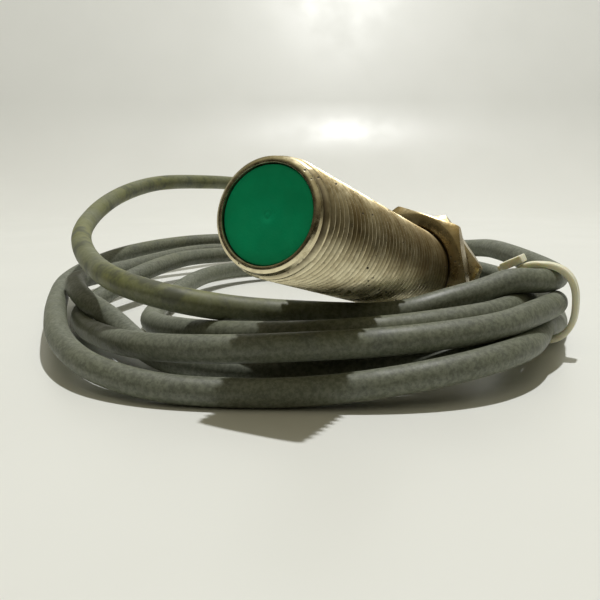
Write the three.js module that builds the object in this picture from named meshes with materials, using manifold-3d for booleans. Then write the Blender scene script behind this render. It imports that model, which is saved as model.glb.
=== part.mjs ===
// Cylindrical inductive proximity sensor, M18 x 1.5, with two lock nuts and its coiled, tied cable.
//
// Units are millimetres and +Z is up. The sensor is built in its own frame, in which +Y runs along
// the thread axis from the sensing face at y = 0 towards the cable, and is then tilted to lie as it
// rests on a table: nose up, on its rear lock nut. The cable is laid out in a second frame, level
// with the table, whose +Y is the long axis of the oval coil.
import * as THREE from 'three';
import { mergeVertices } from 'three/addons/utils/BufferGeometryUtils.js';
import Module from 'manifold-3d';

const wasm = await Module();
wasm.setup();

// ---- driving dimensions ---------------------------------------------------------------------
const DEG = Math.PI / 180;

const THREAD_MAJOR_RADIUS = 9;
const THREAD_PITCH = 1.5;
const THREAD_DEPTH = 0.8;
const THREAD_START = 1.2;
const BARREL_LENGTH = 70;
const BORE_RADIUS = 7.3;
const RIM_RADIUS = 8.35;

const NUT_ACROSS_FLATS = 24;
const NUT_THICKNESS = 3.9;
const NUT_BORE_RADIUS = 9.1;
const FRONT_NUT_Y = 57;
const FRONT_NUT_CORNER = -15 * DEG;
const REAR_NUT_Y = 63.4;
const REAR_NUT_CORNER = 10 * DEG;
const WASHER_THICKNESS = 0.8;
const FRONT_WASHER_Y = 61.2;
const REAR_WASHER_Y = 62.3;

const CAP_RADIUS = 7.2;
const CAP_RECESS = 0.35;
const CORE_RADIUS = 6.3;
const BOARD_FRONT_Y = 10;
const BOARD_REAR_Y = 55;
const BOARD_THICKNESS = 1;

const CABLE_RADIUS = 2.3;
const WIRE_RADIUS = 0.7;
const TIP_RADIUS = 0.4;
const BOOT_END_Y = 86;

const TILT = 15 * DEG;
const FACE_Y = -40.868;
const FACE_Z = 29.681;
const COIL_HEADING = 28.45 * DEG;
const COIL_CENTRE = [-32.02, 28.1];
const GAP = 0.3;

// ---- materials ------------------------------------------------------------------------------
const finish = (color, roughness, metalness = 0) =>
  new THREE.MeshStandardMaterial({ color, roughness, metalness });

const nickel = finish(0x9c9070, 0.35, 1);
const steel = finish(0xa8a8a4, 0.35, 1);
const greenPlastic = finish(0x0a623c, 0.55);
const ferrite = finish(0x2c2b2a, 0.8);
const whitePlastic = finish(0xd9d4c2, 0.6);
const copper = finish(0xb5673a, 0.3, 1);
const laminate = finish(0x2f6b3f, 0.5);
const blackPlastic = finish(0x1b1b1c, 0.5);
const ceramic = finish(0xb49a6f, 0.5);
const amberLens = finish(0xd8a23a, 0.2);
const amberCap = finish(0xc9b26a, 0.35);
const rubber = finish(0x2a2a28, 0.75);
const epoxy = finish(0x23231f, 0.4);
const greyPvc = finish(0x74776a, 0.6);
const nylon = finish(0xd8d6b4, 0.4);
const brownWire = finish(0x5b3a24, 0.5);
const blueWire = finish(0x274a86, 0.5);
const blackWire = finish(0x1c1c1c, 0.5);

// ---- solids ---------------------------------------------------------------------------------
/** Drops normals and uvs, welds the vertices, removes collapsed triangles and faces them outwards. */
function weld(geometry) {
  geometry.deleteAttribute('normal');
  geometry.deleteAttribute('uv');
  const welded = mergeVertices(geometry, 1e-4);
  const kept = [];
  for (let i = 0; i < welded.index.count; i += 3) {
    const [a, b, c] = [0, 1, 2].map((k) => welded.index.getX(i + k));
    if (a !== b && b !== c && c !== a) kept.push(a, b, c);
  }
  if (signedVolume(welded.attributes.position, kept) < 0) kept.reverse();
  welded.setIndex(kept);
  return welded;
}

function signedVolume(position, index) {
  const [a, b, c] = [new THREE.Vector3(), new THREE.Vector3(), new THREE.Vector3()];
  let volume = 0;
  for (let i = 0; i < index.length; i += 3) {
    a.fromBufferAttribute(position, index[i]);
    b.fromBufferAttribute(position, index[i + 1]);
    c.fromBufferAttribute(position, index[i + 2]);
    volume += a.dot(b.cross(c)) / 6;
  }
  return volume;
}

function toManifold(geometry) {
  const welded = weld(geometry);
  const vertProperties = new Float32Array(welded.attributes.position.array);
  const triVerts = new Uint32Array(welded.index.array);
  return new wasm.Manifold(new wasm.Mesh({ numProp: 3, vertProperties, triVerts }));
}

function toGeometry(manifold) {
  const mesh = manifold.getMesh();
  const geometry = new THREE.BufferGeometry();
  geometry.setAttribute('position', new THREE.BufferAttribute(new Float32Array(mesh.vertProperties), 3));
  geometry.setIndex([...mesh.triVerts]);
  return geometry;
}

const union = (first, ...others) =>
  toGeometry(others.reduce((sum, other) => sum.add(toManifold(other)), toManifold(first)));

const cut = (body, ...tools) =>
  toGeometry(tools.reduce((rest, tool) => rest.subtract(toManifold(tool)), toManifold(body)));

/** A solid of revolution about Y. The profile is [radius, y] pairs; `ring` closes it off the axis. */
function lathe(profile, segments = 24, ring = false) {
  const points = profile.map(([radius, y]) => new THREE.Vector2(radius, y));
  if (ring) points.push(points[0].clone());
  return weld(new THREE.LatheGeometry(points, segments));
}

/** A plain tube about Y, from y0 to y1. */
const sleeve = (inner, outer, y0, y1, segments = 24) =>
  lathe([[inner, y0], [outer, y0], [outer, y1], [inner, y1]], segments, true);

/** A box given by its lowest and highest corners. */
function block([x0, y0, z0], [x1, y1, z1]) {
  const box = new THREE.BoxGeometry(x1 - x0, y1 - y0, z1 - z0);
  return box.translate((x0 + x1) / 2, (y0 + y1) / 2, (z0 + z1) / 2);
}

/** A round tube along a smooth curve through the points, with flat ends. */
function tube(points, radius, steps, sides = 8) {
  const section = new THREE.Shape();
  for (let i = 0; i < sides; i += 1) {
    const angle = (i / sides) * 2 * Math.PI;
    const [x, y] = [radius * Math.cos(angle), radius * Math.sin(angle)];
    if (i === 0) section.moveTo(x, y);
    else section.lineTo(x, y);
  }
  section.closePath();
  const curve = new THREE.CatmullRomCurve3(points.map((p) => new THREE.Vector3(...p)), false, 'centripetal');
  return weld(new THREE.ExtrudeGeometry(section, { steps, bevelEnabled: false, extrudePath: curve }));
}

// ---- scene graph ----------------------------------------------------------------------------
const group = new THREE.Group();

const sensor = new THREE.Group();
sensor.position.set(0, FACE_Y, FACE_Z);
sensor.rotation.x = -TILT;
group.add(sensor);

const cable = new THREE.Group();
cable.position.set(COIL_CENTRE[0], COIL_CENTRE[1], 0);
cable.rotation.z = COIL_HEADING;
group.add(cable);

function add(parent, name, geometry, material) {
  const mesh = new THREE.Mesh(geometry, material);
  mesh.name = name;
  parent.add(mesh);
}

// ---- barrel ---------------------------------------------------------------------------------
/** The threaded outline is a zigzag of crests and roots, one pair to each pitch. */
function threadedBarrel() {
  const rearChamfer = 0.9;
  const rootRadius = THREAD_MAJOR_RADIUS - THREAD_DEPTH;
  const profile = [[BORE_RADIUS, 0], [RIM_RADIUS, 0], [THREAD_MAJOR_RADIUS - 0.1, THREAD_START - 0.4]];
  for (let y = THREAD_START; y < BARREL_LENGTH - rearChamfer - THREAD_PITCH; y += THREAD_PITCH) {
    profile.push([THREAD_MAJOR_RADIUS, y], [rootRadius, y + THREAD_PITCH / 2]);
  }
  profile.push([THREAD_MAJOR_RADIUS - 0.1, BARREL_LENGTH - rearChamfer]);
  profile.push([rootRadius, BARREL_LENGTH], [BORE_RADIUS, BARREL_LENGTH]);
  return lathe(profile, 20, true);
}
add(sensor, 'threaded_barrel', threadedBarrel(), nickel);

// ---- sensing end ----------------------------------------------------------------------------
function sensingCap() {
  const faceThickness = 1;
  const skirtEnd = 9;
  const skirtInner = CAP_RADIUS - 0.55;
  const edge = 0.2;
  return lathe([
    [0, CAP_RECESS], [CAP_RADIUS - edge, CAP_RECESS], [CAP_RADIUS, CAP_RECESS + edge],
    [CAP_RADIUS, skirtEnd], [skirtInner, skirtEnd], [skirtInner, CAP_RECESS + faceThickness],
    [0, CAP_RECESS + faceThickness],
  ]);
}
add(sensor, 'sensing_cap', sensingCap(), greenPlastic);

function potCore() {
  const [front, back, grooveEnd] = [1.7, 6.1, 4.8];
  const [hole, post, rim] = [1, 2.7, 5.2];
  return lathe([
    [hole, front], [post, front], [post, grooveEnd], [rim, grooveEnd],
    [rim, front], [CORE_RADIUS, front], [CORE_RADIUS, back], [hole, back],
  ], 24, true);
}
add(sensor, 'ferrite_core', potCore(), ferrite);

function coilBobbin() {
  const [front, back, wall] = [1.95, 4.5, 0.3];
  const [inner, outer] = [3, 4.9];
  return lathe([
    [inner, front], [outer, front], [outer, front + wall], [inner + wall, front + wall],
    [inner + wall, back - wall], [outer, back - wall], [outer, back], [inner, back],
  ], 20, true);
}
add(sensor, 'coil_bobbin', coilBobbin(), whitePlastic);
add(sensor, 'coil_winding', sleeve(3.6, 4.7, 2.55, 3.9, 20), copper);

/** The carrier sits behind the core, half in the cap's skirt, and holds the board's front edge. */
function boardCarrier() {
  const disc = lathe([[0, 6.4], [6.3, 6.4], [6.3, 9.3], [6.9, 9.3], [6.9, 12.4], [0, 12.4]]);
  const boardSlot = block([-6.5, BOARD_FRONT_Y - GAP, -0.8], [6.5, 13, 0.8]);
  return cut(disc, boardSlot);
}
add(sensor, 'board_carrier', boardCarrier(), whitePlastic);

// ---- circuit board --------------------------------------------------------------------------
const BOARD_TOP = BOARD_THICKNESS / 2;
add(
  sensor, 'circuit_board',
  block([-6.1, BOARD_FRONT_Y, -BOARD_TOP], [6.1, BOARD_REAR_Y, BOARD_TOP]), laminate,
);

/** A moulded package with a row of bent leads along each side; the leads are spaced along Y. */
function leadedPackage({ width, length, height, leads, pitch, leadWidth }) {
  const foot = BOARD_TOP + GAP;
  const belly = foot + 0.15;
  const shoulder = belly + height / 2;
  const half = width / 2;
  let body = toManifold(block([-half, -length / 2, belly], [half, length / 2, belly + height]));
  for (let i = 0; i < leads; i += 1) {
    const centre = (i - (leads - 1) / 2) * pitch;
    for (const side of [-1, 1]) {
      const part = (x0, x1, z0, z1) => {
        const piece = block([x0, -leadWidth / 2, z0], [x1, leadWidth / 2, z1]);
        if (side < 0) piece.rotateZ(Math.PI);
        body = body.add(toManifold(piece.translate(0, centre, 0)));
      };
      part(half - 0.2, half + 0.5, shoulder - 0.2, shoulder);
      part(half + 0.3, half + 0.5, foot, shoulder);
      part(half + 0.3, half + 1, foot, foot + 0.2);
    }
  }
  return toGeometry(body);
}
const chipSize = { width: 3.9, length: 4.9, height: 1.4, leads: 4, pitch: 1.27, leadWidth: 0.42 };
const transistorSize = { width: 3.5, length: 6.2, height: 1.6, leads: 3, pitch: 2.3, leadWidth: 0.7 };
add(sensor, 'oscillator_chip', leadedPackage(chipSize).translate(0, 19, 0), blackPlastic);
add(sensor, 'output_transistor', leadedPackage(transistorSize).translate(0, 35, 0), blackPlastic);

/** A chip part: a slimmer body between two end caps. */
function chipPart([x, y], length, width, height) {
  const foot = BOARD_TOP + GAP;
  const cap = length / 5;
  const capAt = (y0, y1) => block([x - width / 2, y0, foot], [x + width / 2, y1, foot + height]);
  const waist = block(
    [x - width / 2 + 0.08, y - length / 2 + cap / 2, foot + 0.08],
    [x + width / 2 - 0.08, y + length / 2 - cap / 2, foot + height - 0.08],
  );
  return union(waist, capAt(y - length / 2, y - length / 2 + cap), capAt(y + length / 2 - cap, y + length / 2));
}
add(sensor, 'tuning_capacitor', chipPart([-4.2, 14.6], 2, 1.25, 1), ceramic);
add(sensor, 'supply_capacitor', chipPart([4.4, 27], 3.2, 1.6, 1.4), ceramic);
add(sensor, 'gain_resistor', chipPart([4.4, 14.6], 2, 1.25, 0.6), blackPlastic);
add(sensor, 'load_resistor', chipPart([-4.4, 28], 3.2, 1.6, 0.7), blackPlastic);

function protectionDiode() {
  const radius = 0.8;
  const band = 0.1;
  const body = lathe([
    [0, -1.8], [radius, -1.8], [radius, -1.3], [radius - band, -1.3],
    [radius - band, 1.3], [radius, 1.3], [radius, 1.8], [0, 1.8],
  ], 16);
  return body.translate(-3.6, 43, BOARD_TOP + GAP + radius);
}
add(sensor, 'protection_diode', protectionDiode(), copper);

/** The indicator lies on the board with its dome towards the clear rear cap. */
function statusLed() {
  const [flange, radius, start] = [1.35, 1.1, 50.2];
  const dome = [0, 22.5, 45, 67.5, 90].map((a) => [
    radius * Math.cos(a * DEG), start + 2.2 + radius * Math.sin(a * DEG),
  ]);
  dome[dome.length - 1][0] = 0;
  const profile = [[0, start], [flange, start], [flange, start + 0.6], [radius, start + 0.6], ...dome];
  return lathe(profile, 20).translate(3.6, 0, BOARD_TOP + GAP + flange);
}
add(sensor, 'status_led', statusLed(), amberLens);

// ---- rear end -------------------------------------------------------------------------------
/** Potting dam across the bore, open in the middle for the three conductors. */
add(sensor, 'potting_plug', sleeve(2.6, 7, 57.3, 59.6), epoxy);

/** The rear cap plugs into the barrel; its spigot has a groove for the seal. */
function rearCap() {
  const [flange, spigot, cableHole, bootSeat] = [8, 6.9, 3.5, 4.75];
  return lathe([
    [cableHole, 61], [spigot, 61], [spigot, 64.2], [spigot - 1.1, 64.2], [spigot - 1.1, 66],
    [spigot, 66], [spigot, BARREL_LENGTH + GAP], [flange, BARREL_LENGTH + GAP],
    [flange, 73.2], [flange - 0.8, 74.4], [bootSeat, 74.4], [bootSeat, 70.4], [cableHole, 70.4],
  ], 24, true);
}
add(sensor, 'rear_cap', rearCap(), amberCap);
add(sensor, 'seal_ring', sleeve(6.1, 7.05, 64.5, 65.7), rubber);

/** Bend-relief boot: a collar in the cap, then a taper with three flex grooves. */
function reliefBoot() {
  const bore = CABLE_RADIUS + GAP;
  const collar = 4.45;
  const [taperStart, taperEnd] = [74.7, BOOT_END_Y];
  const [thick, thin, grooveDepth] = [4.45, 3.2, 0.55];
  const radiusAt = (y) => thick + ((thin - thick) * (y - taperStart)) / (taperEnd - taperStart);
  const profile = [[bore, 70.7], [collar, 70.7], [collar, taperStart]];
  for (const y of [76.6, 79.4, 82.2]) {
    profile.push([radiusAt(y), y], [radiusAt(y) - grooveDepth, y + 0.3]);
    profile.push([radiusAt(y) - grooveDepth, y + 1], [radiusAt(y + 1.3), y + 1.3]);
  }
  profile.push([thin, taperEnd], [bore, taperEnd]);
  return lathe(profile, 20, true);
}
add(sensor, 'relief_boot', reliefBoot(), rubber);

add(sensor, 'crimp_ring', sleeve(CABLE_RADIUS + 0.3, CABLE_RADIUS + 0.8, 64, 67, 20), steel);
add(sensor, 'jacket_end', lathe([
  [0, 61.6], [CABLE_RADIUS, 61.6], [CABLE_RADIUS, BOOT_END_Y - GAP], [0, BOOT_END_Y - GAP],
], 16), greyPvc);

/** Three conductors run from pads at the rear of the board, through the dam, to the jacket. */
const conductors = [
  ['brown', -1, brownWire],
  ['blue', 0, blueWire],
  ['black', 1, blackWire],
];
for (const [colour, place, material] of conductors) {
  const lift = place === 0 ? 1.05 : -0.55;
  const pad = BOARD_TOP + GAP + WIRE_RADIUS;
  const route = [
    [place * 2.1 - 1, 52, pad], [place * 2 - 0.8, 54.5, pad],
    [place * 1.3, 57.5, (pad + lift) / 2], [place * 0.95, 59.5, lift], [place * 0.95, 61.3, lift],
  ];
  add(sensor, `conductor_${colour}`, tube(route, WIRE_RADIUS, 8), material);
}

// ---- lock nuts and washers ------------------------------------------------------------------
/** A hexagon nut, bevelled at 30 degrees on both faces, its first corner at the given angle. */
function lockNut(y, cornerAngle) {
  const cornerRadius = NUT_ACROSS_FLATS / Math.sqrt(3);
  const faceRadius = NUT_ACROSS_FLATS / 2 - 0.25;
  const bevel = (cornerRadius + 0.2 - faceRadius) * Math.tan(30 * DEG);
  const hexagon = new THREE.CylinderGeometry(cornerRadius, cornerRadius, NUT_THICKNESS, 6);
  hexagon.rotateY(Math.PI / 2 - cornerAngle).translate(0, NUT_THICKNESS / 2, 0);
  const bevelled = lathe([
    [0, 0], [faceRadius, 0], [cornerRadius + 0.2, bevel],
    [cornerRadius + 0.2, NUT_THICKNESS - bevel], [faceRadius, NUT_THICKNESS], [0, NUT_THICKNESS],
  ], 36);
  const bore = new THREE.CylinderGeometry(NUT_BORE_RADIUS, NUT_BORE_RADIUS, 3 * NUT_THICKNESS, 48);
  const nut = toManifold(hexagon).intersect(toManifold(bevelled)).subtract(toManifold(bore));
  return toGeometry(nut).translate(0, y, 0);
}
add(sensor, 'front_lock_nut', lockNut(FRONT_NUT_Y, FRONT_NUT_CORNER), nickel);
add(sensor, 'rear_lock_nut', lockNut(REAR_NUT_Y, REAR_NUT_CORNER), nickel);

/** An internal-tooth lock washer: a flat ring whose teeth point at the thread. */
function toothedWasher(y) {
  const [outer, root, tip, teeth] = [11.6, 10.2, 9.25, 12];
  const outline = new THREE.Shape();
  outline.absarc(0, 0, outer, 0, 2 * Math.PI);
  const hole = new THREE.Path();
  for (let i = 0; i < teeth; i += 1) {
    for (const [part, radius] of [[0.05, root], [0.3, root], [0.42, tip], [0.88, tip]]) {
      const angle = ((i + part) / teeth) * 2 * Math.PI;
      const [x, z] = [radius * Math.cos(angle), radius * Math.sin(angle)];
      if (i === 0 && part === 0.05) hole.moveTo(x, z);
      else hole.lineTo(x, z);
    }
  }
  hole.closePath();
  outline.holes.push(hole);
  const plate = new THREE.ExtrudeGeometry(outline, {
    depth: WASHER_THICKNESS, bevelEnabled: false, curveSegments: 24,
  });
  return weld(plate.rotateX(-Math.PI / 2).translate(0, y, 0));
}
add(sensor, 'front_washer', toothedWasher(FRONT_WASHER_Y), steel);
add(sensor, 'rear_washer', toothedWasher(REAR_WASHER_Y), steel);

// ---- cable ----------------------------------------------------------------------------------
/** From the boot down on to the table, turning into the coil. */
const LEAD_ROUTE = [
  [35.1, -2.6, 7.3], [38.1, 3.2, 5.6], [40.6, 9.5, 3.4], [41.6, 15.5, 2.45], [41.5, 21, 2.4],
];

/** The last turn: along the table outside the coil, up into the high loop on the left, down under
 *  the barrel, over the right-hand bundle and back along the top of the coil to its cut end. */
const LOOP_ROUTE = [
  [54.2, -25, 2.9], [59.2, -7, 2.35], [60.8, 14, 2.35], [57.5, 35, 2.6], [50, 56, 5], [38, 77, 10],
  [21, 92, 17], [0, 99.5, 23.5], [-19, 97, 28], [-34, 81, 29.6], [-46.4, 62.8, 29.6],
  [-54, 39, 26], [-55.2, 15.4, 21.2], [-48.8, -12.6, 18.3], [-38.9, -36, 16.1], [-30, -49.5, 15.1],
  [-20.4, -54.8, 13.6], [-10.3, -54, 11.8], [0, -52.4, 10.8], [9.2, -52.2, 10.4], [17.5, -52, 10.5],
  [26.4, -50, 12.8], [36, -46.6, 14.2], [47.1, -39.8, 14.6], [52.4, -28.5, 14], [51.6, -15, 14.6],
  [49.4, -1, 15.2], [48.5, 14, 14.6], [45, 30, 12.6], [37.5, 45, 11.6], [26, 56, 11.7], [14, 62, 11.9],
];
add(cable, 'cable_lead', tube(LEAD_ROUTE, CABLE_RADIUS, 4), greyPvc);
add(cable, 'cable_loop', tube(LOOP_ROUTE, CABLE_RADIUS, 58), greyPvc);

/** The four turns that lie together, as one ring that follows the coil's inner and outer outline.
 *  Each station is [inner x, inner y, outer x, outer y, top, bottom]. */
const COIL_STATIONS = [
  [42.8, -37.6, 48.8, -40.7, 11.7, 4.4],
  [45.2, -24.4, 50.9, -26, 10, 1.5],
  [46.2, -8, 56, -9, 9.4, 0.15],
  [46, 8, 57.4, 8, 8.4, 0.15],
  [44.6, 22, 55.8, 26, 8.2, 0.15],
  [34.5, 35, 47, 48, 8.4, 0.15],
  [23, 45.5, 34, 66, 8.7, 0.15],
  [9, 52, 12, 76.4, 9, 0.15],
  [-6, 51, -12, 79.4, 9.8, 0.15],
  [-17, 43, -33, 72.6, 12.8, 0.15],
  [-24.2, 31, -50, 56, 12, 0.15],
  [-28.2, 15, -60, 34, 11, 0.15],
  [-30, -1, -61.5, 10, 10.6, 0.15],
  [-30.8, -16, -57, -16, 11, 0.15],
  [-28.6, -27, -50, -37, 10.4, 0.15],
  [-23, -41, -42, -60, 9.8, 0.15],
  [-13.5, -53.6, -25, -71.6, 10.2, 0.15],
  [0, -58, 0, -73.6, 10.8, 0.15],
  [14, -57.8, 15.6, -73.4, 11.4, 1],
  [27, -55, 29.8, -68.6, 12.4, 2.6],
  [36.2, -48.4, 40.4, -58.4, 11.6, 3.6],
];

function coilSolid() {
  const column = (k) => COIL_STATIONS.map((station) => station[k]);
  const [innerX, innerY, outerX, outerY, tops, bottoms] = [0, 1, 2, 3, 4, 5].map(column);
  const around = 60;
  const outline = (xs, ys, zs) => new THREE.CatmullRomCurve3(
    xs.map((x, i) => new THREE.Vector3(x, ys[i], zs[i])), true, 'centripetal',
  );
  const inner = outline(innerX, innerY, tops);
  const outer = outline(outerX, outerY, bottoms);
  const ring = new THREE.TorusGeometry(2, 1, 8, around);
  const position = ring.attributes.position;
  const point = new THREE.Vector3();
  const corner = 1 / Math.cos(22.5 * DEG);
  for (let i = 0; i < position.count; i += 1) {
    point.fromBufferAttribute(position, i);
    const turn = Math.round((Math.atan2(point.y, point.x) / (2 * Math.PI)) * around) / around;
    const along = (turn + 1) % 1;
    const octant = Math.round((Math.atan2(point.z, Math.hypot(point.x, point.y) - 2) / Math.PI) * 4);
    const angle = (octant + 0.5) * 45 * DEG;
    const across = 0.5 + 0.5 * corner * Math.cos(angle);
    const up = 0.5 + 0.5 * corner * Math.sin(angle);
    const [a, b] = [inner.getPoint(along), outer.getPoint(along)];
    position.setXYZ(
      i, THREE.MathUtils.lerp(a.x, b.x, across), THREE.MathUtils.lerp(a.y, b.y, across),
      THREE.MathUtils.lerp(b.z, a.z, up),
    );
  }
  return weld(ring);
}
add(cable, 'cable_coil', coilSolid(), greyPvc);

// ---- cable tie ------------------------------------------------------------------------------
const TIE_CENTRE = [45.9, -39.2, 10.3];
const TIE_HEADING = 62 * DEG;
const TIE_HALF_WIDTH = 7;
const TIE_HALF_HEIGHT = 7.8;
const TIE_SQUARENESS = 2.5;
const STRAP_WIDTH = 2.6;
const STRAP_THICKNESS = 1.1;
const HEAD_LEAN = 27 * DEG;

/** Local x is across the bundle, local y along it and local z up. */
const tie = new THREE.Group();
tie.position.set(...TIE_CENTRE);
tie.rotation.z = TIE_HEADING - Math.PI / 2;
cable.add(tie);

/** A point of the strap's rounded-square loop, moved inwards by `inset`. */
function tiePoint(angle, inset = 0) {
  const power = 2 / TIE_SQUARENESS;
  const bend = (value) => Math.sign(value) * Math.abs(value) ** power;
  return new THREE.Vector2(
    (TIE_HALF_WIDTH - inset) * bend(Math.cos(angle)),
    (TIE_HALF_HEIGHT - inset) * bend(Math.sin(angle)),
  );
}

function tieStrap() {
  const steps = 28;
  const loop = (inset) =>
    Array.from({ length: steps }, (_, i) => tiePoint(((i + 0.5) / steps) * 2 * Math.PI, inset));
  const strap = new THREE.Shape(loop(0));
  strap.holes.push(new THREE.Path(loop(STRAP_THICKNESS)));
  const band = new THREE.ExtrudeGeometry(strap, { depth: STRAP_WIDTH, bevelEnabled: false });
  return weld(band.rotateX(Math.PI / 2).translate(0, STRAP_WIDTH / 2, 0));
}
add(tie, 'tie_strap', tieStrap(), nylon);

/** The ratchet head sits on the strap, up and to the left of the bundle, with its tail cut short. */
function tieHead() {
  const [left, right, length, height] = [-2.4, 1.9, 4.4, 1.5];
  const shell = block([left, -length / 2, 0], [right, length / 2, height]);
  const pawlSlot = block([left + 0.8, -1.4, height - 0.6], [right - 0.8, 1.4, height + 1]);
  const stub = block([left - 0.8, -STRAP_WIDTH / 2, 0.25], [left + 0.1, STRAP_WIDTH / 2, 1.2]);
  const angle = 127 * DEG;
  const seat = tiePoint(angle, -GAP - 0.05);
  return cut(union(shell, stub), pawlSlot)
    .rotateY(-HEAD_LEAN)
    .translate(seat.x, 0, seat.y);
}
add(tie, 'tie_head', tieHead(), nylon);

// ---- stripped far end -----------------------------------------------------------------------
const strippedEnds = [
  {
    colour: 'brown', material: brownWire, tip: [-12.6, 61, 13.6],
    route: [[13.4, 62.3, 12.8], [11.3, 63.3, 12.8], [5, 64.6, 12], [-3, 63.8, 12], [-9, 62, 12.9]],
  },
  {
    colour: 'blue', material: blueWire, tip: [-10.9, 50.4, 13],
    route: [[13.1, 61.6, 11.5], [11, 62.5, 11.4], [6, 61, 11.1], [0, 56.8, 11.2], [-7.6, 52, 12.1]],
  },
  {
    colour: 'black', material: blackWire, tip: [-11.2, 71.8, 14.2],
    route: [[13.7, 63.1, 11.5], [11.7, 64.3, 11.4], [5, 68, 11.1], [-3, 70.8, 11.8], [-7.6, 71.4, 13.2]],
  },
];
for (const { colour, material, route, tip } of strippedEnds) {
  add(cable, `wire_${colour}`, tube(route, WIRE_RADIUS, 9), material);
  const start = new THREE.Vector3(...route[route.length - 1]);
  const end = new THREE.Vector3(...tip);
  const along = end.clone().sub(start).normalize();
  const near = start.clone().addScaledVector(along, GAP);
  add(cable, `tip_${colour}`, tube([near.toArray(), end.toArray()], TIP_RADIUS, 1), copper);
}

export default group;
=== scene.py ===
"""Looks of a cylindrical inductive proximity sensor and its coiled, tied cable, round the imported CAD."""
import math

import bmesh
import bpy
from mathutils import Matrix, Vector, kdtree, noise

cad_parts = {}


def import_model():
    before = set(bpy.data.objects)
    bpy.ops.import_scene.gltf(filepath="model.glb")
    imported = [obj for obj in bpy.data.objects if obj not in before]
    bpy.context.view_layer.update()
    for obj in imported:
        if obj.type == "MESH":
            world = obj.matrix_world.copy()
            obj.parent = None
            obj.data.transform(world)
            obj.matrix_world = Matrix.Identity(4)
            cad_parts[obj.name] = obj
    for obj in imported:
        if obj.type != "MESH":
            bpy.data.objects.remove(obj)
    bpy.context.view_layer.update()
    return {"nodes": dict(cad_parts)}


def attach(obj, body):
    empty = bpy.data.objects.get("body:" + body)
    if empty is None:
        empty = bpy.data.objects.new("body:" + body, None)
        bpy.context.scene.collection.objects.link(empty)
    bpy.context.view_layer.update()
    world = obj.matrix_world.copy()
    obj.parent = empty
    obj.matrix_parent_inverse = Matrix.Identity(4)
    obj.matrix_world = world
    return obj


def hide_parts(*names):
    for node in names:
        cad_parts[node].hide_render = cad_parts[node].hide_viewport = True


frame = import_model()

# ---- frames and driving sizes, in millimetres ------------------------------------------------
MM = 0.001
TILT = math.radians(15)
FACE = (0, -40.868, 29.681)
COIL_HEADING = math.radians(28.45)
COIL_CENTRE = (-32.02, 28.1, 0)
CABLE_RADIUS = 2.3
THREAD_RADIUS = 9.0
THREAD_PITCH = 1.5
THREAD_DEPTH = 0.86
CREST_WEAR = 0.04
BORE_RADIUS = 7.3
BARREL_LENGTH = 70

# +Y of the sensor frame runs along the thread from the sensing face; the coil frame is level.
SENSOR = Matrix.Translation(FACE) @ Matrix.Rotation(-TILT, 4, "X")
COIL = Matrix.Translation(COIL_CENTRE) @ Matrix.Rotation(COIL_HEADING, 4, "Z")


def place(matrix, point):
    return (matrix @ Vector(point)) * MM


# ---- camera ----------------------------------------------------------------------------------
CAMERA_DROP = math.radians(10.57)
camera_data = bpy.data.cameras.new("camera")
camera_data.lens = 45
camera_data.sensor_width = 36
camera_data.clip_start = 0.01
camera = bpy.data.objects.new("camera", camera_data)
camera.matrix_world = (
    Matrix.Translation(place(COIL, (0, -180, 37)))
    @ Matrix.Rotation(COIL_HEADING, 4, "Z")
    @ Matrix.Rotation(math.pi / 2 - CAMERA_DROP, 4, "X")
)
bpy.context.collection.objects.link(camera)
bpy.context.scene.camera = camera


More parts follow.
